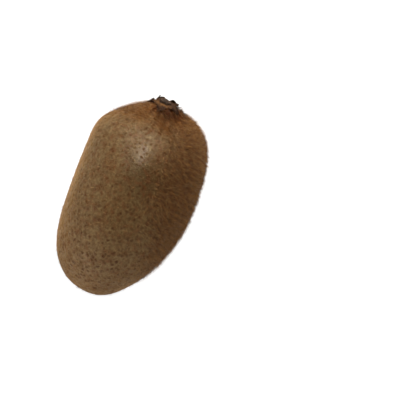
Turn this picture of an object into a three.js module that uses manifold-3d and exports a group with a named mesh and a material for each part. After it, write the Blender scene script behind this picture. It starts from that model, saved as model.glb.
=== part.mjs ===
// A kiwifruit lying on its side on a small flat spot, with the dried calyx round its stem scar.
// Millimetres, +Z up. +X runs along the fruit towards the stem end, +Y is its left side, and the
// origin is the middle of its footprint. The fruit is one solid body, as it grew. The calyx is a
// woody scar, where the stalk broke away, in a ring of five dried sepals.

import * as THREE from 'three';
import { mergeVertices } from 'three/addons/utils/BufferGeometryUtils.js';
import Module from 'manifold-3d';

const wasm = await Module();
wasm.setup();

// ---- Driving dimensions ------------------------------------------------------------------------

const STEM_POLE = 33.1;       // stations along the fruit's axis at which its two ends lie
const BLOSSOM_POLE = -37.6;
const PITCH = 5.6;            // degrees that the tapering fruit's axis rises towards the stem end
const STEM_END_BEND = 13;     // degrees that the axis curves up between its middle and that end
const FLAT_SPOT_DEPTH = 0.55; // how much of the lowest curve is pressed flat

// Each side of the body bulges by its own amount and is widest at its own station. From there it
// falls to each pole as a superellipse, |along|^m + |out|^n = 1, with its powers given as [m, n]:
// [2, 2] is an ellipse and higher powers are squarer.
const LEFT = { bulge: 20.4, widest: 17.5, toStem: [2.1, 1.1], toBlossom: [4.75, 2.1] };
const RIGHT = { bulge: 23.1, widest: -1.6, toStem: [2.7, 4], toBlossom: [1.5, 2] };
const TOP = { bulge: 22.6, widest: 0, toStem: [2.2, 2], toBlossom: [2, 2] };
const BELLY = { bulge: 21.4, widest: 10, toStem: [2.6, 2.2], toBlossom: [2.1, 2] };

// Round the axis, each quarter of a section is a superellipse too: under 2, the top has a keel.
const SECTION_POWER_TOP = 1.78;
const SECTION_POWER_BELLY = 2.1;

// The skin rises in a collar under the calyx.
const COLLAR_HEIGHT = 1.9;
const COLLAR_TOP_RADIUS = 3.8;
const COLLAR_FOOT_RADIUS = 8.6;

const SCAR_RADIUS = 2.0;
const SCAR_HEIGHT = 0.9;
const SEPAL_COUNT = 5;
const SEPAL_LENGTH = 4.0;
const SEPAL_WIDTH = 3.8;
const SEPAL_THICKNESS = 0.45;
const SEPAL_LEAN = 12;        // degrees that a sepal lifts off the collar
const SHOULDER_DROOP = 20;    // degrees less on the left, where the shoulder falls away
const SEPAL_UNEVENNESS = 0.12;
const GAP = 0.3;              // between the dried pieces and what they sit on

const RINGS_NEAR_STEM = 12;
const RINGS_ON_BODY = 34;
const SEGMENTS = 60;

// ---- The fruit's body --------------------------------------------------------------------------

const { degToRad, lerp, smoothstep } = THREE.MathUtils;

// How far one side of the body stands from the axis at a station along it.
function reach(side, station) {
  const towardsStem = station > side.widest;
  const span = towardsStem ? STEM_POLE - side.widest : side.widest - BLOSSOM_POLE;
  const [along, out] = towardsStem ? side.toStem : side.toBlossom;
  const share = Math.min(1, Math.abs(station - side.widest) / span);
  return side.bulge * (1 - share ** along) ** (1 / out);
}

// Bends the stem half of the body up, so that its straight axis becomes an arc.
function bend(point) {
  if (point.x <= 0) return point;
  const arcRadius = STEM_POLE / degToRad(STEM_END_BEND);
  const turn = point.x / arcRadius;
  const fromCentre = arcRadius - point.z;
  return point.set(fromCentre * Math.sin(turn), point.y, arcRadius - fromCentre * Math.cos(turn));
}

// The point of the skin at a station along the axis and an angle round it, from the left side up.
function skinPoint(station, angle) {
  const leftShare = (1 + Math.cos(angle)) / 2;
  const topShare = (1 + Math.sin(angle)) / 2;
  const across = lerp(reach(RIGHT, station), reach(LEFT, station), leftShare);
  const upright = lerp(reach(BELLY, station), reach(TOP, station), topShare);
  const power = lerp(SECTION_POWER_BELLY, SECTION_POWER_TOP, topShare);
  const radius = (Math.abs(Math.cos(angle) / across) ** power
    + Math.abs(Math.sin(angle) / upright) ** power) ** (-1 / power);
  const collar = station > 0
    ? COLLAR_HEIGHT * (1 - smoothstep(radius, COLLAR_TOP_RADIUS, COLLAR_FOOT_RADIUS)) : 0;
  return bend(new THREE.Vector3(
    station + collar, radius * Math.cos(angle), radius * Math.sin(angle)));
}

// Stations of the rings: close together under the collar, then even round the body's curve.
function ringStations() {
  const middle = (STEM_POLE + BLOSSOM_POLE) / 2;
  const half = (STEM_POLE - BLOSSOM_POLE) / 2;
  const collarEdge = 0.38; // radians from the stem pole at which the collar has run out
  const angles = [];
  for (let i = 1; i <= RINGS_NEAR_STEM; i++) angles.push(collarEdge * i / RINGS_NEAR_STEM);
  for (let i = 1; i < RINGS_ON_BODY; i++) {
    angles.push(lerp(collarEdge, Math.PI, i / RINGS_ON_BODY));
  }
  return angles.map((angle) => middle + half * Math.cos(angle));
}

function bodyGeometry() {
  const rings = ringStations().map((station) =>
    Array.from({ length: SEGMENTS }, (_, k) => skinPoint(station, 2 * Math.PI * k / SEGMENTS)));
  const points = [
    bend(new THREE.Vector3(STEM_POLE + COLLAR_HEIGHT, 0, 0)),
    ...rings.flat(),
    new THREE.Vector3(BLOSSOM_POLE, 0, 0),
  ];
  const vertex = (ring, k) => 1 + ring * SEGMENTS + (k % SEGMENTS);
  const blossomEnd = points.length - 1;
  const faces = [];
  for (let k = 0; k < SEGMENTS; k++) {
    faces.push(0, vertex(0, k), vertex(0, k + 1));
    for (let ring = 0; ring + 1 < rings.length; ring++) {
      const [a, b] = [vertex(ring, k), vertex(ring, k + 1)];
      const [c, d] = [vertex(ring + 1, k), vertex(ring + 1, k + 1)];
      faces.push(a, c, b, b, c, d);
    }
    faces.push(vertex(rings.length - 1, k), blossomEnd, vertex(rings.length - 1, k + 1));
  }
  const geometry = new THREE.BufferGeometry().setFromPoints(points);
  geometry.setIndex(faces);
  return geometry;
}

// ---- Solids ------------------------------------------------------------------------------------

function toSolid(geometry) {
  const bare = geometry.clone();
  bare.deleteAttribute('normal');
  bare.deleteAttribute('uv');
  const merged = mergeVertices(bare, 1e-5);
  return new wasm.Manifold(new wasm.Mesh({
    numProp: 3,
    vertProperties: new Float32Array(merged.attributes.position.array),
    triVerts: new Uint32Array(merged.index.array),
  }));
}

function toGeometry(solid) {
  const mesh = solid.getMesh();
  const geometry = new THREE.BufferGeometry();
  geometry.setAttribute('position', new THREE.BufferAttribute(mesh.vertProperties, 3));
  geometry.setIndex(new THREE.BufferAttribute(mesh.triVerts, 1));
  geometry.computeVertexNormals();
  return geometry;
}

// ---- Materials ---------------------------------------------------------------------------------

const skin = new THREE.MeshStandardMaterial({ color: 0x6e5437, roughness: 0.7, metalness: 0 });
const driedSepal = new THREE.MeshStandardMaterial({ color: 0x3a2413, roughness: 0.9, metalness: 0 });
const woodyScar = new THREE.MeshStandardMaterial({ color: 0x5b3a1f, roughness: 0.85, metalness: 0 });

// ---- The fruit, about its own axis -------------------------------------------------------------

// As it lies, the axis is pitched and the body's lowest curve is pressed flat against the surface.
const body = bodyGeometry();
body.rotateY(-degToRad(PITCH));
body.computeBoundingBox();
const footHeight = body.boundingBox.min.z + FLAT_SPOT_DEPTH;

const surfaceSize = 120;
const surface = new THREE.BoxGeometry(surfaceSize, surfaceSize, surfaceSize);
surface.translate(0, 0, footHeight - surfaceSize / 2);
const fruit = new THREE.Mesh(toGeometry(toSolid(body).subtract(toSolid(surface))), skin);
fruit.name = 'fruit';

// ---- The calyx, in a frame of its own: +Z leaves the stem end, +Y is left, -X is up --------------

const calyx = new THREE.Group();
calyx.position.copy(bend(new THREE.Vector3(STEM_POLE + COLLAR_HEIGHT, 0, 0)));
calyx.position.applyAxisAngle(new THREE.Vector3(0, 1, 0), -degToRad(PITCH));
calyx.rotation.y = Math.PI / 2 - degToRad(PITCH + STEM_END_BEND);

// The woody pad where the stalk broke away is dished in the middle.
const scarProfile = [
  [0, 0], [SCAR_RADIUS, 0], [SCAR_RADIUS, SCAR_HEIGHT * 0.6], [SCAR_RADIUS * 0.85, SCAR_HEIGHT],
  [SCAR_RADIUS * 0.5, SCAR_HEIGHT * 0.75], [0, SCAR_HEIGHT * 0.65],
].map(([radius, height]) => new THREE.Vector2(radius, height));
const scar = new THREE.Mesh(new THREE.LatheGeometry(scarProfile, 24).rotateX(Math.PI / 2), woodyScar);
scar.name = 'stem_scar';
scar.position.z = GAP;
calyx.add(scar);

// One sepal: a short blunt scale, its root at the origin and its tip along +X.
function sepalGeometry(length) {
  const halfWidth = SEPAL_WIDTH / 2;
  const outline = new THREE.Shape();
  outline.moveTo(0, -halfWidth * 0.6);
  outline.bezierCurveTo(
    length * 0.3, -halfWidth * 1.2, length * 0.8, -halfWidth, length, -halfWidth * 0.15);
  outline.lineTo(length, halfWidth * 0.15);
  outline.bezierCurveTo(
    length * 0.8, halfWidth, length * 0.3, halfWidth * 1.2, 0, halfWidth * 0.6);
  outline.closePath();
  return new THREE.ExtrudeGeometry(outline, {
    depth: SEPAL_THICKNESS, bevelEnabled: false, curveSegments: 5,
  });
}

const rootRadius = SCAR_RADIUS + GAP + 0.1;
for (let i = 0; i < SEPAL_COUNT; i++) {
  const turn = 2 * Math.PI * (i + 0.35) / SEPAL_COUNT;
  const uneven = SEPAL_UNEVENNESS * Math.sin(2.4 * i); // no two sepals shrivel alike
  const lean = SEPAL_LEAN * (1 + 3 * uneven) - SHOULDER_DROOP * Math.max(0, Math.sin(turn));
  const sepal = new THREE.Mesh(sepalGeometry(SEPAL_LENGTH * (1 + uneven)), driedSepal);
  sepal.name = `sepal_${i + 1}`;
  sepal.position.set(rootRadius * Math.cos(turn), rootRadius * Math.sin(turn), GAP);
  sepal.rotation.set(0, -degToRad(lean), turn, 'ZYX');
  calyx.add(sepal);
}

// ---- The whole fruit, moved to stand on the origin ---------------------------------------------

const kiwifruit = new THREE.Group();
kiwifruit.add(fruit, calyx);
const extent = new THREE.Box3().setFromObject(kiwifruit, true);
const middle = extent.getCenter(new THREE.Vector3());
kiwifruit.position.set(-middle.x, -middle.y, -footHeight);

export default kiwifruit;
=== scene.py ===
# A kiwifruit lying on its side on a white sheet: its skin, the woody scar of the stalk, the five
# dried sepals round that, and the fuzz. Metres, +X towards the stem end, +Y its left side, +Z up.

import math

import bpy
import numpy as np
from mathutils import Matrix, Vector


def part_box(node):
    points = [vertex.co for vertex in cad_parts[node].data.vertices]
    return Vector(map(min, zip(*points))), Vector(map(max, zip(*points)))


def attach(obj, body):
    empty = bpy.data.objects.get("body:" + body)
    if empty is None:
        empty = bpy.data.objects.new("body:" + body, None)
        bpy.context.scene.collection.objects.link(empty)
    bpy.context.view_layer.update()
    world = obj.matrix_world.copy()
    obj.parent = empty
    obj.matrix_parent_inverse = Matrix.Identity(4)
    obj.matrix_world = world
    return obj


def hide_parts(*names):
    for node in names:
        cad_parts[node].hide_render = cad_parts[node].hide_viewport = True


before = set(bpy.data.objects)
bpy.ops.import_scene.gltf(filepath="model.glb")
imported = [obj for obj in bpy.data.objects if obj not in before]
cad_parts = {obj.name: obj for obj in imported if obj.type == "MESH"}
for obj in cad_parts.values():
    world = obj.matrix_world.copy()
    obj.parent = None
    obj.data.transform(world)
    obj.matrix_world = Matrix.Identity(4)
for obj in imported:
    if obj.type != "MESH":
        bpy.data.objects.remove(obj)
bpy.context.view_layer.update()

# ---- The camera ---------------------------------------------------------------------------------
# It looks straight down on the lying fruit, from far enough away that perspective is slight, and is
# turned so that the stem end points up and to the right of the frame.

MM = 0.001
STEM_TURN = math.radians(22.3)       # from the top of the frame to the stem end, clockwise
PIXELS, PIXELS_PER_MM = 400, 2.85
FRUIT_AT = Vector((130.4, 194.8))    # where the middle of the fruit falls in the frame, in pixels
OUTLINE_MIDDLE = Vector((0.45, 0.6, 21)) * MM
CAMERA_DISTANCE = 0.7

zenith = Vector((0, 0, 1))
up = Vector((math.cos(STEM_TURN), math.sin(STEM_TURN), 0))     # the top of the frame, on the floor
right = up.cross(zenith)
from_centre = (FRUIT_AT - Vector((PIXELS, PIXELS)) / 2) / PIXELS_PER_MM * MM
frame_centre = OUTLINE_MIDDLE - from_centre.x * right + from_centre.y * up

bpy.ops.object.camera_add(
    location=frame_centre + zenith * CAMERA_DISTANCE, rotation=(0, 0, STEM_TURN - math.pi / 2))
camera = bpy.context.object
camera.data.lens = camera.data.sensor_width * CAMERA_DISTANCE / (PIXELS / PIXELS_PER_MM * MM)
bpy.context.scene.camera = camera

# ---- The skin -----------------------------------------------------------------------------------
# The whole fruit as it grew, in one piece: a thin tough hide, a little uneven and dotted all over
# with pores, pulled together in puckers round the stalk. At the blossom end is a small dry button,
# and it lies on a flat spot that its own weight has pressed.


def deselect():
    """Leaves nothing selected, so that the next operator acts only on what it adds."""
    if bpy.context.object and bpy.context.object.mode != "OBJECT":
        bpy.ops.object.mode_set(mode="OBJECT")
    bpy.ops.object.select_all(action="DESELECT")


def finish_modifier(piece, kind, **settings):
    """Adds a modifier with its settings and applies it."""
    modifier = piece.modifiers.new(kind.title(), kind)
    for name, value in settings.items():
        setattr(modifier, name, value)
    bpy.context.view_layer.objects.active = piece
    bpy.ops.object.modifier_apply(modifier=modifier.name)


def clouds(size, depth):
    """A soft uneven texture whose features are about size across, for a Displace modifier."""
    texture = bpy.data.textures.new("Clouds", "CLOUDS")
    texture.noise_scale = size
    texture.noise_depth = depth
    return texture


fruit_low, fruit_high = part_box("fruit")
fruit_middle = (fruit_low + fruit_high) / 2
scar_low, scar_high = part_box("stem_scar")

# Places on the skin that its relief, its colours and its fuzz are set out from.
STEM_AT = (scar_low + scar_high) / 2
BLOSSOM_AT = Vector((fruit_low.x, 1.3 * MM, 14.5 * MM))
CREST_AT = Vector((14.6, 2.1, 42)) * MM     # the top of the lying fruit, rubbed bare and waxy
PAINTED_SHADE_AT = Vector((8, -2.5, 42)) * MM       # beside the crest: painted shade, where the slope below it turns from the light
MAROON_AND_SHADE_AT = Vector((33.2, -0.4, 32)) * MM   # just above the calyx: dark skin with painted shade of the puckers
DARK_AND_SHADE_AT = STEM_AT + 2.5 * MM * right        # round the calyx, most on the shaggy side: dark skin with painted shade
RUST_AT = Vector((34.3, 3.4, 24.5)) * MM    # the lower left of the stem end

SKIN_CUTS = 30                       # across each face of the cube that the skin starts from

deselect()
bpy.ops.mesh.primitive_cube_add(size=2, location=(0, 0, 0))
skin = bpy.context.object
skin.name = "skin"
bpy.ops.object.mode_set(mode="EDIT")
bpy.ops.mesh.subdivide(number_cuts=SKIN_CUTS)
bpy.ops.object.mode_set(mode="OBJECT")
finish_modifier(skin, "CAST", factor=1.0, cast_type="SPHERE")
skin.data.transform(Matrix.LocRotScale(fruit_middle, None, (fruit_high - fruit_low) / 2))
finish_modifier(
    skin, "SHRINKWRAP", target=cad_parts["fruit"], wrap_method="NEAREST_SURFACEPOINT")
bpy.ops.object.mode_set(mode="EDIT")
bpy.ops.mesh.select_all(action="SELECT")
bpy.ops.mesh.vertices_smooth(factor=0.5, repeat=8)
bpy.ops.object.mode_set(mode="OBJECT")
finish_modifier(skin, "SUBSURF", levels=2, render_levels=2)

# Broad unevenness, then the fine grain of pores.
for texture, strength in (
    (clouds(14 * MM, 1), 0.5 * MM),
    (clouds(4 * MM, 1), 0.12 * MM),
    (clouds(1.1 * MM, 2), 0.1 * MM),
):
    finish_modifier(
        skin, "DISPLACE", texture=texture, texture_coords="LOCAL", strength=strength, mid_level=0.5)

# Puckers run in to the stalk, deepest halfway up the collar. Its top stands clear of the shoulders.
# At the other end a dry button, all that is left of the flower, stands in a shallow dimple.
PUCKERS, PUCKER_DEPTH, PUCKER_RADIUS, PUCKER_REACH = 19, 0.15 * MM, 5.5 * MM, 3.2 * MM
COLLAR_LIFT, COLLAR_RADIUS, STEM_END_DEPTH = 0.5 * MM, 5 * MM, 12 * MM
BUTTON_HEIGHT, BUTTON_RADIUS, DIMPLE_DEPTH, DIMPLE_RADIUS = 0.8 * MM, 1.3 * MM, 0.5 * MM, 3.5 * MM
CALYX_TILT = math.radians(18.6)      # how far the stem end looks up from level
calyx = Matrix.Translation(STEM_AT) @ Matrix.Rotation(math.pi / 2 - CALYX_TILT, 4, "Y")
from_calyx = calyx.inverted()
facing_out = calyx.to_3x3() @ zenith

count = len(skin.data.vertices)
points, normals = np.empty((2, count * 3))
skin.data.vertices.foreach_get("co", points)
skin.data.vertices.foreach_get("normal", normals)
points, normals = points.reshape(-1, 3), normals.reshape(-1, 3)
seen = (points - np.array(STEM_AT)) @ np.array(calyx.to_3x3())
stem_end = seen[:, 2] > -STEM_END_DEPTH
around, out = np.arctan2(seen[:, 1], seen[:, 0]), np.hypot(seen[:, 0], seen[:, 1])
wave = np.cos(PUCKERS * around + 2.2 * np.sin(3 * around) + 1.5 * np.sin(2 * around))
share = np.exp(-((out - PUCKER_RADIUS) / PUCKER_REACH) ** 2) * stem_end
points += normals * (PUCKER_DEPTH * wave * share)[:, None]
share = np.exp(-(out / COLLAR_RADIUS) ** 4) * stem_end
points += np.array(facing_out) * (COLLAR_LIFT * share)[:, None]
apart = np.linalg.norm(points - np.array(BLOSSOM_AT), axis=1)
points[:, 0] -= BUTTON_HEIGHT * np.exp(-(apart / BUTTON_RADIUS) ** 4)
points[:, 0] += DIMPLE_DEPTH * np.exp(-(apart / DIMPLE_RADIUS) ** 2)

# It lies on a flat spot, so nothing sags below the surface.
points[:, 2] = np.maximum(points[:, 2], 0)
skin.data.vertices.foreach_set("co", points.ravel())
skin.data.update()
bpy.ops.object.shade_smooth()


def to_linear(hex_colour):
    """An sRGB hex colour as the linear RGBA that nodes take."""
    channels = [int(hex_colour[i:i + 2], 16) / 255 for i in (1, 3, 5)]
    return (*(c / 12.92 if c <= 0.04045 else ((c + 0.055) / 1.055) ** 2.4 for c in channels), 1)


def add_node(tree, kind, inputs=None, **settings):
    """Adds a node with its settings. Each input is given a value, or another node's output."""
    node = tree.nodes.new(kind)
    for name, value in settings.items():
        setattr(node, name, value)
    for name, value in (inputs or {}).items():
        if isinstance(value, bpy.types.NodeSocket):
            tree.links.new(value, node.inputs[name])
        else:
            node.inputs[name].default_value = value
    return node


def new_material(name):
    """A new material with an empty tree, and that tree."""
    material = bpy.data.materials.new(name)
    material.use_nodes = True
    material.node_tree.nodes.clear()
    return material, material.node_tree


# Matt brown hide, olive to rusty, freckled with dark pores, with a faint waxy gloss on the crest.
kiwi_skin, tree = new_material("Kiwifruit skin, downy")
place = add_node(tree, "ShaderNodeTexCoord").outputs["Object"]

# Olive, brown and tan patches run into each other.
patches = add_node(tree, "ShaderNodeTexNoise",
                   {"Vector": place, "Scale": 1 / (6 * MM), "Detail": 3})
factor = add_node(tree, "ShaderNodeMapRange", {"Value": patches.outputs["Fac"], "From Min": 0.35,
                  "From Max": 0.65})
colour = add_node(tree, "ShaderNodeMix", {0: factor.outputs[0], 6: to_linear("#735c3b"),
                  7: to_linear("#775531")}, data_type="RGBA").outputs[2]
specks = add_node(tree, "ShaderNodeTexNoise", {"Vector": place, "Scale": 1 / (2.2 * MM),
                  "Detail": 2})
factor = add_node(tree, "ShaderNodeMapRange", {"Value": specks.outputs["Fac"], "From Min": 0.3,
                  "From Max": 0.7})
colour = add_node(tree, "ShaderNodeMix", {0: factor.outputs[0], 6: colour,
                  7: to_linear("#89714b")}, data_type="RGBA").outputs[2]

# Painted shade darkens it beside the crest. It is paler towards the blossom end and redder on the
# shaggy flank.
shade = add_node(tree, "ShaderNodeVectorMath", {0: place, 1: PAINTED_SHADE_AT}, operation="DISTANCE")
factor = add_node(tree, "ShaderNodeMapRange", {"Value": shade.outputs["Value"], "From Min": 2 * MM,
                  "From Max": 12 * MM, "To Min": 0.6, "To Max": 0}, interpolation_type="SMOOTHSTEP")
colour = add_node(tree, "ShaderNodeMix", {0: factor.outputs[0], 6: colour,
                  7: to_linear("#46371c")}, data_type="RGBA").outputs[2]
spot = add_node(tree, "ShaderNodeSeparateXYZ", {0: place})
factor = add_node(tree, "ShaderNodeMapRange", {"Value": spot.outputs["X"], "From Min": -8 * MM,
                  "From Max": -36 * MM, "To Min": 0, "To Max": 0.6})
colour = add_node(tree, "ShaderNodeMix", {0: factor.outputs[0], 6: colour,
                  7: to_linear("#997752")}, data_type="RGBA").outputs[2]
flank = add_node(tree, "ShaderNodeVectorMath", {0: place, 1: right}, operation="DOT_PRODUCT")
factor = add_node(tree, "ShaderNodeMapRange", {"Value": flank.outputs["Value"], "From Min": 4 * MM,
                  "From Max": 20 * MM, "To Min": 0, "To Max": 0.4})
colour = add_node(tree, "ShaderNodeMix", {0: factor.outputs[0], 6: colour,
                  7: to_linear("#744521")}, data_type="RGBA").outputs[2]

# Low on its sides it is golden, most of all at the stem end: partly its own rustier colour, where
# fewer hands have rubbed it, partly painted rim light, the glow of the fuzz round the outline.
low = add_node(tree, "ShaderNodeMapRange", {"Value": spot.outputs["Z"], "From Min": 33 * MM,
               "From Max": 23 * MM, "To Min": 0, "To Max": 0.75})
stemward = add_node(tree, "ShaderNodeMapRange", {"Value": spot.outputs["X"], "From Min": -25 * MM,
                    "From Max": 12 * MM, "To Min": 0.3, "To Max": 1})
factor = add_node(tree, "ShaderNodeMath", {0: low.outputs[0], 1: stemward.outputs[0]},
                  operation="MULTIPLY")
colour = add_node(tree, "ShaderNodeMix", {0: factor.outputs[0], 6: colour,
                  7: to_linear("#bd8236")}, data_type="RGBA").outputs[2]

# Towards the stalk it turns rusty, then dark, then maroon, each with a ragged edge. The rust is its
# own colour; the dark and the maroon are partly its own colour, partly painted shade of the collar.
EDGE_DRIFT = 9 * MM
drift = add_node(tree, "ShaderNodeTexNoise", {"Vector": place, "Scale": 1 / (5 * MM), "Detail": 3})
for centre, near, far, strength, stain in (
    (RUST_AT, 11 * MM, 22 * MM, 0.9, "#8f5010"),
    (DARK_AND_SHADE_AT, 10 * MM, 14 * MM, 0.7, "#3f1303"),
    (MAROON_AND_SHADE_AT, 7.5 * MM, 11 * MM, 1, "#380b00"),
):
    distance = add_node(tree, "ShaderNodeVectorMath", {0: place, 1: centre}, operation="DISTANCE")
    ragged = add_node(tree, "ShaderNodeMath", {0: drift.outputs["Fac"], 1: EDGE_DRIFT,
                      2: distance.outputs["Value"]}, operation="MULTIPLY_ADD")
    factor = add_node(tree, "ShaderNodeMapRange", {"Value": ragged.outputs[0], "From Min": near,
                      "From Max": far, "To Min": strength, "To Max": 0})
    colour = add_node(tree, "ShaderNodeMix", {0: factor.outputs[0], 6: colour,
                      7: to_linear(stain)}, data_type="RGBA").outputs[2]
from_maroon = ragged                 # the loop's last

# The dry button is nearly black.
from_button = add_node(tree, "ShaderNodeVectorMath", {0: place, 1: BLOSSOM_AT},
                       operation="DISTANCE")
factor = add_node(tree, "ShaderNodeMapRange", {"Value": from_button.outputs["Value"],
                  "From Min": 0.9 * MM, "From Max": 2.6 * MM, "To Min": 0.9, "To Max": 0})
colour = add_node(tree, "ShaderNodeMix", {0: factor.outputs[0], 6: colour,
                  7: to_linear("#2b1a0f")}, data_type="RGBA").outputs[2]

# Rusty flecks, and over them the pores: dark reddish freckles, pushed out of round, that are
# strongest on the upper side and towards the blossom end.
flecks = add_node(tree, "ShaderNodeTexNoise", {"Vector": place, "Scale": 1 / (1.6 * MM),
                  "Detail": 2})
factor = add_node(tree, "ShaderNodeMapRange", {"Value": flecks.outputs["Fac"], "From Min": 0.5,
                  "From Max": 0.68, "To Min": 0, "To Max": 0.55})
colour = add_node(tree, "ShaderNodeMix", {0: factor.outputs[0], 6: colour,
                  7: to_linear("#6b3415")}, data_type="RGBA").outputs[2]
warp = add_node(tree, "ShaderNodeTexNoise", {"Vector": place, "Scale": 1 / (1.2 * MM), "Detail": 1})
shift = add_node(tree, "ShaderNodeVectorMath", {0: warp.outputs["Color"], "Scale": 1.2 * MM},
                 operation="SCALE")
warped = add_node(tree, "ShaderNodeVectorMath", {0: place, 1: shift.outputs[0]}, operation="ADD")
cells = add_node(tree, "ShaderNodeTexVoronoi", {"Vector": warped.outputs[0],
                 "Scale": 1 / (1.45 * MM)})
pores = add_node(tree, "ShaderNodeMapRange", {"Value": cells.outputs["Distance"], "From Min": 0.18,
                 "From Max": 0.58, "To Min": 1, "To Max": 0}, interpolation_type="SMOOTHSTEP")
chance = add_node(tree, "ShaderNodeSeparateColor", {0: cells.outputs["Color"]})
uneven = add_node(tree, "ShaderNodeMapRange", {"Value": chance.outputs[0], "To Min": 0.25,
                  "To Max": 1})
blossomward = add_node(tree, "ShaderNodeMapRange", {"Value": spot.outputs["X"],
                       "From Min": 12 * MM, "From Max": -20 * MM, "To Min": 0.6, "To Max": 1})
upper = add_node(tree, "ShaderNodeMapRange", {"Value": spot.outputs["Z"], "From Min": 16 * MM,
                 "From Max": 30 * MM, "To Min": 0.5, "To Max": 1})
factor = pores
for share in (uneven, blossomward, upper):
    factor = add_node(tree, "ShaderNodeMath", {0: factor.outputs[0], 1: share.outputs[0]},
                      operation="MULTIPLY")
colour = add_node(tree, "ShaderNodeMix", {0: factor.outputs[0], 6: colour,
                  7: to_linear("#421802")}, data_type="RGBA").outputs[2]

# A fine dark grain over all of it.
dust = add_node(tree, "ShaderNodeTexNoise", {"Vector": place, "Scale": 1 / (0.8 * MM), "Detail": 2})
factor = add_node(tree, "ShaderNodeMapRange", {"Value": dust.outputs["Fac"], "From Min": 0.35,
                  "From Max": 0.62, "To Min": 0.55, "To Max": 0})
colour = add_node(tree, "ShaderNodeMix", {0: factor.outputs[0], 6: colour,
                  7: to_linear("#4a2a0c")}, data_type="RGBA").outputs[2]

# Worn smooth between the pores, dull in them and round the stalk, and smoothest on the crest, where
# the skin between the pores keeps a thin coat of wax.
worn = add_node(tree, "ShaderNodeMapRange", {"Value": specks.outputs["Fac"], "From Min": 0.35,
                "From Max": 0.65, "To Min": 0.6, "To Max": 0.28})
dull = add_node(tree, "ShaderNodeMapRange", {"Value": from_maroon.outputs[0],
                "From Min": 10 * MM, "From Max": 24 * MM, "To Min": 0.35, "To Max": 0})
roughness = add_node(tree, "ShaderNodeMath", {0: pores.outputs[0], 1: 0.25, 2: worn.outputs[0]},
                     operation="MULTIPLY_ADD")
roughness = add_node(tree, "ShaderNodeMath", {0: roughness.outputs[0], 1: dull.outputs[0]})
from_crest = add_node(tree, "ShaderNodeVectorMath", {0: place, 1: CREST_AT}, operation="DISTANCE")
polish = add_node(tree, "ShaderNodeMapRange", {"Value": from_crest.outputs["Value"],
                  "From Min": 3 * MM, "From Max": 10 * MM, "To Min": 0.22, "To Max": 0},
                  interpolation_type="SMOOTHSTEP")
roughness = add_node(tree, "ShaderNodeMath", {0: roughness.outputs[0], 1: polish.outputs[0]},
                     operation="SUBTRACT", use_clamp=True)
wax = add_node(tree, "ShaderNodeMapRange", {"Value": from_crest.outputs["Value"],
               "From Min": 3 * MM, "From Max": 13 * MM, "To Min": 0.5, "To Max": 0},
               interpolation_type="SMOOTHSTEP")
wax = add_node(tree, "ShaderNodeMapRange", {"Value": pores.outputs[0], "To Min": wax.outputs[0],
               "To Max": 0})
grain = add_node(tree, "ShaderNodeTexNoise",
                 {"Vector": place, "Scale": 1 / (0.5 * MM), "Detail": 3})
height = add_node(tree, "ShaderNodeMath", {0: pores.outputs[0], 1: 0.4, 2: grain.outputs["Fac"]},
                  operation="MULTIPLY_ADD")
bump = add_node(tree, "ShaderNodeBump", {"Height": height.outputs[0], "Strength": 0.6,
                "Distance": 0.3 * MM})
shader = add_node(tree, "ShaderNodeBsdfPrincipled", {
    "Base Color": colour, "Roughness": roughness.outputs[0], "IOR": 1.45,
    "Specular IOR Level": 0.45, "Specular Tint": to_linear("#ffe0b0"), "Sheen Weight": 1,
    "Sheen Roughness": 0.3, "Sheen Tint": to_linear("#f4c890"), "Coat Weight": wax.outputs[0],
    "Coat Roughness": 0.3, "Normal": bump.outputs[0]})
add_node(tree, "ShaderNodeOutputMaterial", {"Surface": shader.outputs[0]})
skin.data.materials.append(kiwi_skin)

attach(skin, "root")
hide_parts("fruit")

# ---- The stem scar ------------------------------------------------------------------------------
# The pad that the stalk broke away from: corky dry wood, a little proud of the skin, dished and
# cracked, with the dark ring of the stalk's pith in the middle. It grew fast to the fruit.

SCAR_RADIUS, SCAR_HEIGHT = 2.0 * MM, 0.9 * MM
SCAR_ROOT = 0.8 * MM                 # how far it goes on down into the fruit
SCAR_RINGS = (                       # how far in from the last ring, how far down, in mm
    (0.2, 0), (0.5, 0.25), (0.2, 0.05), (0.25, 0.35), (0.3, 0.1))

deselect()
bpy.ops.mesh.primitive_cylinder_add(vertices=32, radius=SCAR_RADIUS,
                                    depth=SCAR_HEIGHT + SCAR_ROOT, location=(0, 0, -SCAR_ROOT / 2))
scar = bpy.context.object
scar.name = "stem_scar_wood"
scar.data.transform(Matrix.Translation(scar.location))
scar.location = (0, 0, 0)
bpy.ops.object.mode_set(mode="EDIT")
bpy.ops.mesh.select_mode(type="FACE")
bpy.ops.mesh.select_all(action="DESELECT")
bpy.ops.object.mode_set(mode="OBJECT")
for face in scar.data.polygons:
    face.select = face.normal.z > 0.9
bpy.ops.object.mode_set(mode="EDIT")
for step, drop in SCAR_RINGS:
    bpy.ops.mesh.inset(thickness=step * MM)
    bpy.ops.transform.translate(value=(0, 0, -drop * MM))
bpy.ops.mesh.poke()
bpy.ops.mesh.select_all(action="SELECT")
bpy.ops.mesh.subdivide(number_cuts=1)
bpy.ops.object.mode_set(mode="OBJECT")
finish_modifier(scar, "BEVEL", width=0.08 * MM, segments=1, limit_method="ANGLE")
finish_modifier(scar, "SUBSURF", levels=1, render_levels=1)
for texture, strength in ((clouds(1.5 * MM, 1), 0.5 * MM), (clouds(0.4 * MM, 2), 0.25 * MM)):
    finish_modifier(
        scar, "DISPLACE", texture=texture, texture_coords="LOCAL", strength=strength, mid_level=0.5)
scar.data.transform(calyx)
bpy.ops.object.shade_smooth()

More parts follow.
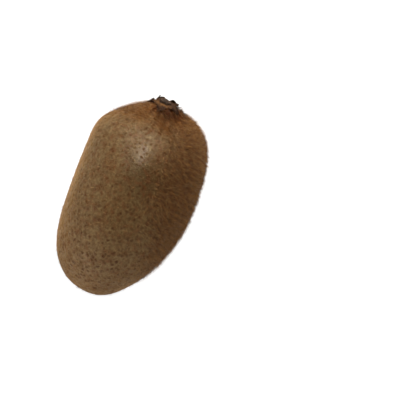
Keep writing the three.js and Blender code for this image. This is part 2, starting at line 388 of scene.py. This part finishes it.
# Broken wood fibre: rough, tan, dark brown in its cracks and in the pith.
scar_wood, tree = new_material("Dry stalk wood, broken")
place = add_node(tree, "ShaderNodeTexCoord").outputs["Object"]
from_pith = add_node(tree, "ShaderNodeVectorMath", {0: place, 1: STEM_AT}, operation="DISTANCE")
fibre = add_node(tree, "ShaderNodeTexNoise", {"Vector": place, "Scale": 1 / (0.5 * MM),
                 "Detail": 3})
pith = add_node(tree, "ShaderNodeMapRange", {"Value": from_pith.outputs["Value"],
                "From Min": 0.5 * MM, "From Max": 1.3 * MM, "To Min": 1, "To Max": 0})
crack = add_node(tree, "ShaderNodeMapRange", {"Value": fibre.outputs["Fac"], "From Min": 0.4,
                 "From Max": 0.6, "To Min": 0.9, "To Max": 0})
dark = add_node(tree, "ShaderNodeMath", {0: pith.outputs[0], 1: crack.outputs[0]},
                operation="MAXIMUM")
colour = add_node(tree, "ShaderNodeMix", {0: dark.outputs[0], 6: to_linear("#5e432a"),
                  7: to_linear("#21140b")}, data_type="RGBA")
bump = add_node(tree, "ShaderNodeBump", {"Height": fibre.outputs["Fac"], "Strength": 0.6,
                "Distance": 0.15 * MM})
shader = add_node(tree, "ShaderNodeBsdfPrincipled", {
    "Base Color": colour.outputs[2], "Roughness": 0.85, "Normal": bump.outputs[0]})
add_node(tree, "ShaderNodeOutputMaterial", {"Surface": shader.outputs[0]})
scar.data.materials.append(scar_wood)
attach(scar, "root")
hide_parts("stem_scar")

# ---- The sepals ---------------------------------------------------------------------------------
# Five scales that dried on the fruit round the scar: thin and leathery, tan near the root, torn and
# nearly black at the tip. Each is rooted in the skin, lies along the shoulder, and has curled off
# it by its own amount as it shrank.

SEPAL_ROOT = 1.9 * MM                # from the middle of the scar
SEPAL_SINK = 0.15 * MM               # how deep the root is in the skin
SEPAL_THICKNESS = 0.28 * MM
DARKER_SIDE = (0, -0.5, -0.87)      # low on the right, where they are made darker

# Torn leaf: dull tan in veins that run to the tip, charred in blots that spread from the tip.
sepal_leaf, tree = new_material("Dried sepal, leathery")
leaf = add_node(tree, "ShaderNodeUVMap", uv_map="leaf").outputs[0]
place = add_node(tree, "ShaderNodeTexCoord").outputs["Object"]
stretched = add_node(tree, "ShaderNodeVectorMath", {0: leaf, 1: (2, 16, 1)}, operation="MULTIPLY")
veins = add_node(tree, "ShaderNodeTexNoise", {"Vector": stretched.outputs[0], "Scale": 1,
                 "Detail": 2})
blots = add_node(tree, "ShaderNodeTexNoise", {"Vector": place, "Scale": 1 / (0.9 * MM),
                 "Detail": 2})
part = add_node(tree, "ShaderNodeMapRange", {"Value": veins.outputs["Fac"], "From Min": 0.35,
                "From Max": 0.65})
colour = add_node(tree, "ShaderNodeMix", {0: part.outputs[0], 6: to_linear("#573619"),
                  7: to_linear("#845a2c")}, data_type="RGBA")
tipward = add_node(tree, "ShaderNodeSeparateXYZ", {0: leaf})
ragged = add_node(tree, "ShaderNodeMath", {0: blots.outputs["Fac"], 1: 1.6,
                  2: tipward.outputs["X"]}, operation="MULTIPLY_ADD")
charred = add_node(tree, "ShaderNodeMapRange", {"Value": ragged.outputs[0], "From Min": 0.8,
                   "From Max": 1.5})
toward_darker_side = add_node(tree, "ShaderNodeVectorMath", {0: place, 1: DARKER_SIDE},
                   operation="DOT_PRODUCT")
darker_side = add_node(tree, "ShaderNodeMapRange", {"Value": toward_darker_side.outputs["Value"],
                     "From Min": -27.5 * MM, "From Max": -24.5 * MM, "To Min": 0, "To Max": 0.9})
dark = add_node(tree, "ShaderNodeMath", {0: charred.outputs[0], 1: darker_side.outputs[0]},
                operation="MAXIMUM")
colour = add_node(tree, "ShaderNodeMix", {0: dark.outputs[0], 6: colour.outputs[2],
                  7: to_linear("#351f0e")}, data_type="RGBA")
bump = add_node(tree, "ShaderNodeBump", {"Height": veins.outputs["Fac"], "Strength": 0.5,
                "Distance": 0.1 * MM})
shader = add_node(tree, "ShaderNodeBsdfPrincipled", {
    "Base Color": colour.outputs[2], "Roughness": 0.8, "Specular IOR Level": 0.2,
    "Normal": bump.outputs[0]})
add_node(tree, "ShaderNodeOutputMaterial", {"Surface": shader.outputs[0]})

# Their lengths, widths, how far their tips have curled up, and what their tears start from.
for number, (length, width, curl, seed) in enumerate((
    (4.0 * MM, 4.6 * MM, 1.5 * MM, 0.3),
    (3.7 * MM, 4.6 * MM, 1.4 * MM, 1.7),
    (4.2 * MM, 4.4 * MM, 0.4 * MM, 2.9),
    (4.4 * MM, 4.2 * MM, 0.7 * MM, 4.1),
    (3.8 * MM, 4.4 * MM, 1.2 * MM, 5.6),
), start=1):
    node = f"sepal_{number}"
    middle = from_calyx @ ((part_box(node)[0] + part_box(node)[1]) / 2)
    turned = Matrix.Rotation(math.atan2(middle.y, middle.x), 4, "Z")

    deselect()
    bpy.ops.mesh.primitive_grid_add(x_subdivisions=18, y_subdivisions=14, size=1)
    sepal = bpy.context.object
    sepal.name = f"{node}_leaf"
    sepal.data.uv_layers[0].name = "leaf"

    # Broadest near the root, torn more and more towards the tip, ribbed, and cupped across. It
    # follows the skin that lies below it.
    for vertex in sepal.data.vertices:
        along, across = vertex.co.x + 0.5, vertex.co.y * 2
        tear = 0.16 * math.sin(5 * across + seed) + 0.12 * math.sin(13 * across + 3 * seed)
        reach = along * (1 - 0.25 * across ** 2 + tear * along ** 2)
        half = width / 2 * (0.4 + 0.75 * math.sin(math.pi * along ** 0.8) ** 0.8
                            * (1 - 0.2 * along)) * (1 - 0.35 * along ** 3)
        rib = 0.07 * MM * math.cos(9 * across + seed) * along
        rise = -SEPAL_SINK + curl * along ** 2 + 0.25 * MM * across ** 2 * along + rib
        above = calyx @ turned @ Vector((SEPAL_ROOT + length * reach, half * across, 5 * MM))
        skin_there = skin.ray_cast(above, -facing_out)[1]
        vertex.co = skin_there + facing_out * (rise + SEPAL_THICKNESS)
    finish_modifier(sepal, "SOLIDIFY", thickness=SEPAL_THICKNESS, offset=-1)
    finish_modifier(sepal, "SUBSURF", levels=1, render_levels=1)
    finish_modifier(sepal, "DISPLACE", texture=clouds(0.9 * MM, 2), texture_coords="LOCAL",
                    strength=0.35 * MM, mid_level=0.5)
    bpy.ops.object.shade_smooth()
    sepal.data.materials.append(sepal_leaf)
    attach(sepal, "root")
    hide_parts(node)

# ---- The fuzz -----------------------------------------------------------------------------------
# Stiff dry hairs that grow out of the skin, rubbed short over most of the fruit and left long on
# the right flank and near the stalk. The real ones are about 0.03 mm thick, and there are far more
# of them: these are two to four times as thick, so that they show.

# Dull straw and rust, dark at the root and paler at the tip, with a little gloss along each hair. A
# hair's place across its map tells its shade, and the rusty ones have the right-hand half.
hair_material, tree = new_material("Kiwifruit hair, dry")
own_map = add_node(tree, "ShaderNodeUVMap", uv_map="OFBake")
strand = add_node(tree, "ShaderNodeSeparateXYZ", {0: own_map.outputs[0]})
rusty = add_node(tree, "ShaderNodeMath", {0: strand.outputs["X"], 1: 0.5}, operation="GREATER_THAN")
twice = add_node(tree, "ShaderNodeMath", {0: strand.outputs["X"], 1: 2}, operation="MULTIPLY")
shade = add_node(tree, "ShaderNodeMath", {0: twice.outputs[0]}, operation="FRACT")
dark = add_node(tree, "ShaderNodeMix", {0: rusty.outputs[0], 6: to_linear("#3f2511"),
                7: to_linear("#4a220b")}, data_type="RGBA")
pale = add_node(tree, "ShaderNodeMix", {0: rusty.outputs[0], 6: to_linear("#c2955f"),
                7: to_linear("#ab7844")}, data_type="RGBA")
colour = add_node(tree, "ShaderNodeMix", {0: shade.outputs[0], 6: dark.outputs[2],
                  7: pale.outputs[2]}, data_type="RGBA").outputs[2]
tip = add_node(tree, "ShaderNodeMapRange", {"Value": strand.outputs["Y"], "To Max": 0.4})
colour = add_node(tree, "ShaderNodeMix", {0: tip.outputs[0], 6: colour,
                  7: pale.outputs[2]}, data_type="RGBA").outputs[2]
shader = add_node(tree, "ShaderNodeBsdfPrincipled", {
    "Base Color": colour, "Roughness": 0.5, "IOR": 1.5, "Specular Tint": to_linear("#ffe2b8")})
add_node(tree, "ShaderNodeOutputMaterial", {"Surface": shader.outputs[0]})

# The finished skin's triangles, their areas and middles, and the normals at its points.
skin.data.calc_loop_triangles()
corners = np.empty(len(skin.data.loop_triangles) * 3, dtype=np.int32)
skin.data.loop_triangles.foreach_get("vertices", corners)
corners = corners.reshape(-1, 3)
normals = np.empty(len(points) * 3)
skin.data.vertices.foreach_get("normal", normals)
normals = normals.reshape(-1, 3)
sides = points[corners[:, 1:]] - points[corners[:, :1]]
areas = np.linalg.norm(np.cross(sides[:, 0], sides[:, 1]), axis=1) / 2
middles = points[corners].mean(axis=1)

CALYX_RADIUS, CALYX_DEPTH = 3.6 * MM, 6 * MM      # how far the sepals' cover of the skin reaches
COLLAR_FOOT, COLLAR_FUZZ = 7 * MM, 0.08           # on the collar inside this, little fuzz is left
SHAGGY_SIDE = np.array((0.25, -0.97, 0))          # to the right and a little towards the stem
PARTING = 6 * MM                                  # of the hairs, to the right of the middle
ROOT_DEPTH = 0.04 * MM
HAIR_TAPER = 0.6                                  # share of its thickness lost towards the tip
HAIR_ON_MAP = 0.008                               # how wide it is on its material's map


def unit(vectors):
    """The vectors at length 1."""
    return vectors / np.linalg.norm(vectors, axis=-1, keepdims=True)


def smooth(values, low, high):
    """0 below low, 1 above high, and a smooth rise between."""
    t = np.clip((values - low) / (high - low), 0, 1)
    return t * t * (3 - 2 * t)


def distance_from(centre, places):
    """How far each of the places is from the centre."""
    return np.linalg.norm(places - np.array(centre), axis=1)


def shaggy(places):
    """How much long fuzz is left, up to 1 on the right flank and in the stem end's rusty place."""
    flank = smooth((places - np.array(fruit_middle)) @ SHAGGY_SIDE, 3 * MM, 15 * MM)
    stem_end = smooth(-distance_from(RUST_AT, places), -20 * MM, -10 * MM)
    return np.clip(flank + 0.7 * stem_end, 0, 1)


def rubbed(places):
    """1 on the crest, where the skin is rubbed bare and waxy, falling to 0 round it."""
    return np.exp(-(distance_from(CREST_AT, places) / (9 * MM)) ** 2)


def ripples(places, size, seed):
    """A smooth random value at each place, mostly from -1 to 1, that rises and falls over size."""
    rng = np.random.default_rng(seed)
    waves = unit(rng.normal(size=(12, 3))) * 2 * math.pi / size
    return np.sin(places @ waves.T + rng.uniform(0, 2 * math.pi, 12)).mean(axis=1) * 3


def bare(places):
    """1 where the sepals cover the skin and nothing grows, 0 elsewhere."""
    seen = (places - np.array(STEM_AT)) @ np.array(calyx.to_3x3())
    return (np.hypot(seen[:, 0], seen[:, 1]) < CALYX_RADIUS) & (seen[:, 2] > -CALYX_DEPTH)


def lean(rng, root, normal):
    """The way each hair lies on the skin, as unit vectors.

    The hairs are combed round the fruit, away from the parting on both sides and a little towards
    the blossom end, with slow swirls, tufts that lean together and some disorder.
    """
    round_fruit = unit(np.cross((1, 0, 0), normal))
    stemward = np.cross(normal, round_fruit)
    away = np.tanh(-(root[:, 1] - fruit_middle.y + PARTING) / (3 * MM))
    swirl, tuft = 0.4 * ripples(root, 14 * MM, 1), 0.5 * ripples(root, 3 * MM, 2)
    turn = np.arctan2(-0.35, away) + swirl + tuft
    turn += rng.normal(0, 0.3, len(root))
    return round_fruit * np.cos(turn)[:, None] + stemward * np.sin(turn)[:, None]


def hair_spines(rng, root, normal, comb, lengths, lift, droop, rings):
    """Points along each hair, from just under the skin to its tip."""
    length = rng.uniform(*lengths, len(root)) * (0.7 + 0.3 * shaggy(root))
    angle = rng.normal(lift, 0.2, len(root)).clip(0.1, 1.4)
    spine = [root - normal * ROOT_DEPTH]
    for _ in range(rings):
        heading = comb * np.cos(angle)[:, None] + normal * np.sin(angle)[:, None]
        spine.append(spine[-1] + heading * (length / rings)[:, None])
        angle = angle - droop / rings
    return np.stack(spine, axis=1)


def hair_shades(rng, root, contrast):
    """Each hair's place across its material's map: dark to pale, and the rusty ones half-way on."""
    golden = smooth(-root[:, 2], -33 * MM, -22 * MM)
    rusty = rng.random(len(root)) < 0.15 + 0.75 * np.maximum(shaggy(root), golden)
    streaks, disorder = ripples(root, 1.8 * MM, 3), rng.normal(0, 0.08, len(root))
    shade = 0.25 + contrast * (0.12 * streaks + disorder)
    # Darker near the calyx: partly the hairs' own colour, partly painted shade of the collar.
    shade -= 0.2 * smooth(-distance_from(DARK_AND_SHADE_AT, root), -11 * MM, -6 * MM)
    return shade.clip(0.01, 0.48) + 0.5 * rusty


def grow_fuzz(name, seed, count, weight, lengths, thickness, lift, droop, rings, contrast):
    """One mesh of count hairs on the skin, densest where its triangles have the highest weight.

    A hair is a tube of as many triangular rings as rings says, and ends in a point. It rises from
    the skin at the angle lift and bends back by the angle droop. Contrast spreads the shades.
    """
    rng = np.random.default_rng(seed)
    collar = smooth(distance_from(STEM_AT, middles), 4 * MM, COLLAR_FOOT)
    share = areas * weight * ~bare(middles) * (COLLAR_FUZZ + (1 - COLLAR_FUZZ) * collar)
    chosen = corners[rng.choice(len(corners), count, p=share / share.sum())]
    mix = rng.dirichlet((1, 1, 1), count)[:, :, None]
    root = (points[chosen] * mix).sum(axis=1)
    normal = unit((normals[chosen] * mix).sum(axis=1))
    comb = lean(rng, root, normal)
    spine = hair_spines(rng, root, normal, comb, lengths, lift, droop, rings)
    spine[:, :, 2] = np.maximum(spine[:, :, 2], thickness / 2)

    # The corners of its rings, which shrink towards the tip, and then the point.
    across = unit(np.cross(comb, normal))
    over = np.cross(comb, across)
    steps = np.arange(rings + 1) / rings
    vertices = []
    for k in range(rings):
        radius = thickness / 2 * (1 - HAIR_TAPER * steps[k])
        for corner in range(3):
            a = corner * 2 * math.pi / 3
            vertices.append(spine[:, k] + radius * (across * math.cos(a) + over * math.sin(a)))
    vertices.append(spine[:, rings])
    vertices = np.stack(vertices, axis=1)

    # One hair's triangles: its root end, the sides between its rings, and its point.
    faces = [(2, 1, 0)]
    for k in range(rings - 1):
        for corner in range(3):
            a, b = 3 * k + corner, 3 * k + (corner + 1) % 3
            faces += [(a, b, b + 3), (a, b + 3, a + 3)]
    last = 3 * (rings - 1)
    faces += [(last + corner, last + (corner + 1) % 3, last + 3) for corner in range(3)]
    faces = np.array(faces)
    per_hair = 3 * rings + 1

    mesh = bpy.data.meshes.new(name)
    mesh.vertices.add(count * per_hair)
    mesh.vertices.foreach_set("co", vertices.ravel())
    indices = (faces[None] + (np.arange(count) * per_hair)[:, None, None]).reshape(-1)
    mesh.loops.add(len(indices))
    mesh.loops.foreach_set("vertex_index", indices)
    mesh.polygons.add(len(indices) // 3)
    mesh.polygons.foreach_set("loop_start", np.arange(0, len(indices), 3))
    mesh.update(calc_edges=True)
    mesh.validate()
    mesh.polygons.foreach_set("use_smooth", np.ones(len(mesh.polygons), dtype=bool))

    # On the map a hair is a sliver that runs up it from root to tip.
    own = np.repeat(hair_shades(rng, root, contrast), len(faces) * 3)
    corner_of = np.append(np.tile((0, HAIR_ON_MAP / 2, HAIR_ON_MAP), rings), HAIR_ON_MAP / 2)
    height_of = np.append(np.repeat(steps[:rings], 3), 1)
    flat = np.tile(faces.ravel(), count)
    uv = mesh.uv_layers.new(name="OFBake")
    uv.data.foreach_set("uv", np.stack((own + corner_of[flat], height_of[flat]), axis=1).ravel())

    fuzz = bpy.data.objects.new(name, mesh)
    bpy.context.collection.objects.link(fuzz)
    mesh.materials.append(hair_material)
    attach(fuzz, "root")


# Short down lies all over, thinner on the crest and at the blossom end. The longer hairs stand
# mostly in the shaggy places.
unrubbed = 1 - 0.9 * rubbed(middles)
grow_fuzz("down_worn", seed=11, count=45000,
          weight=(1 - 0.8 * rubbed(middles)) * (0.7 + 0.3 * smooth(middles[:, 0], -30 * MM, 0)),
          lengths=(0.3 * MM, 0.75 * MM), thickness=0.05 * MM, lift=0.7, droop=0, rings=1,
          contrast=0.8)
grow_fuzz("down_thick", seed=12, count=40000, weight=(0.22 + shaggy(middles)) * unrubbed,
          lengths=(0.6 * MM, 1.3 * MM), thickness=0.07 * MM, lift=0.75, droop=0, rings=1,
          contrast=1.5)
grow_fuzz("long_hairs", seed=13, count=11000, weight=(0.04 + shaggy(middles)) * unrubbed,
          lengths=(1.4 * MM, 2.8 * MM), thickness=0.11 * MM, lift=0.85, droop=0.8, rings=3,
          contrast=2.4)

# ---- The studio ---------------------------------------------------------------------------------
# A wide white sheet in a white tent. Most of the light comes in low, strongest from beyond the stem
# end and from the lower left of the frame, and a small lamp overhead puts the gloss on the crest.

FLOOR_SIZE, FLOOR_GAP = 6, 0.2 * MM  # the gap keeps the sheet clear of the flat spot
deselect()
bpy.ops.mesh.primitive_plane_add(size=FLOOR_SIZE, location=(0, 0, -FLOOR_GAP))
floor = bpy.context.object
floor.name = "floor"

# Matt white paper, lit up for the camera until it is nearly without shadow.
white_sheet, tree = new_material("White paper sheet")
from_camera = add_node(tree, "ShaderNodeLightPath").outputs["Is Camera Ray"]
lit_up = add_node(tree, "ShaderNodeMath", {0: from_camera, 1: 0.88}, operation="MULTIPLY")
shader = add_node(tree, "ShaderNodeBsdfPrincipled", {
    "Base Color": to_linear("#c8c8c6"), "Roughness": 0.9, "Emission Color": (1, 1, 1, 1),
    "Emission Strength": lit_up.outputs[0]})
add_node(tree, "ShaderNodeOutputMaterial", {"Surface": shader.outputs[0]})
floor.data.materials.append(white_sheet)

world = bpy.data.worlds.new("White tent")
bpy.context.scene.world = world
world.use_nodes = True
tree = world.node_tree
towards = add_node(tree, "ShaderNodeTexCoord").outputs["Generated"]

# Broad lit panels of the tent: each one's bearing clockwise from the top of the frame and its
# height, in degrees, and its glow, full within GLOW_MIDDLE of its middle and gone at GLOW_EDGE.
GLOW_MIDDLE, GLOW_EDGE = math.cos(math.radians(8)), math.cos(math.radians(40))
brightness = add_node(tree, "ShaderNodeValue").outputs[0]
brightness.default_value = 0.02
for bearing, elevation, glow in (
    (0, -10, 6.9), (45, 3, 3.5), (135, 3, 0.4), (180, 3, 1.4), (225, -10, 5.0), (270, -10, 1.9),
    (315, -10, 1.1), (0, 45, 1.5),
):
    level = up * math.cos(math.radians(bearing)) + right * math.sin(math.radians(bearing))
    panel = (level * math.cos(math.radians(elevation))
             + zenith * math.sin(math.radians(elevation)))
    facing = add_node(tree, "ShaderNodeVectorMath", {0: towards, 1: panel},
                      operation="DOT_PRODUCT")
    lit = add_node(tree, "ShaderNodeMapRange", {"Value": facing.outputs["Value"],
                   "From Min": GLOW_EDGE, "From Max": GLOW_MIDDLE, "To Max": glow},
                   interpolation_type="SMOOTHSTEP")
    brightness = add_node(tree, "ShaderNodeMath", {0: brightness, 1: lit.outputs[0]}).outputs[0]
tree.nodes["Background"].inputs["Color"].default_value = (1, 1, 1, 1)
tree.links.new(brightness, tree.nodes["Background"].inputs["Strength"])
bpy.context.scene.view_settings.view_transform = "Standard"

GLOSS_FROM = up * 0.50 + right * 0.14 + zenith * 0.87
LAMP_DISTANCE, LAMP_SIZE = 0.9, 0.1
lamp_at = fruit_middle + GLOSS_FROM.normalized() * LAMP_DISTANCE
bpy.ops.object.light_add(
    type="AREA", location=lamp_at, rotation=GLOSS_FROM.to_track_quat("Z", "Y").to_euler())
gloss_lamp = bpy.context.object
gloss_lamp.name = "gloss_lamp"
gloss_lamp.data.size = LAMP_SIZE
gloss_lamp.data.energy = 1.5
gloss_lamp.data.color = (1, 0.9, 0.76)          # a warm bulb
